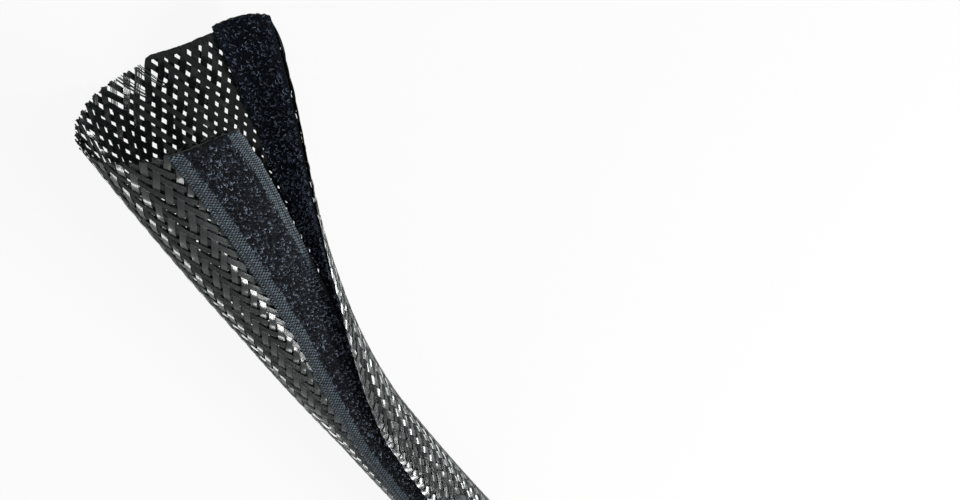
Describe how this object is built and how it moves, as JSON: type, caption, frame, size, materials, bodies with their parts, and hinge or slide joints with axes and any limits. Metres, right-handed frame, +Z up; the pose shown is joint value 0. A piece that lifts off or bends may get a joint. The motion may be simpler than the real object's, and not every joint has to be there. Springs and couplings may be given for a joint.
{
  "type": "hook and loop braided sleeve",
  "caption": "Split expandable braided cable sleeve closed along its length by hook and loop tapes, folded open and flared at one end.",
  "frame": {"origin": "centre of the bounding box, on the floor that the sleeve lies on", "axes": "+X from the flared mouth to the closed tail, +Y toward the open side, +Z up"},
  "size_m": [0.2574, 0.1014, 0.0505],
  "materials": {
    "braid": "satin monofilament",
    "hook": "woven, with short stiff hooks",
    "loop": "soft looped pile",
    "thread": "satin"
  },
  "bodies": {
    "root": {"braided_sleeve": "braid", "hook_tape": "hook", "loop_tape": "loop", "hook_tape_outer_seam": "thread", "hook_tape_inner_seam": "thread", "loop_tape_outer_seam": "thread", "loop_tape_inner_seam": "thread"}
  },
  "joints": []
}
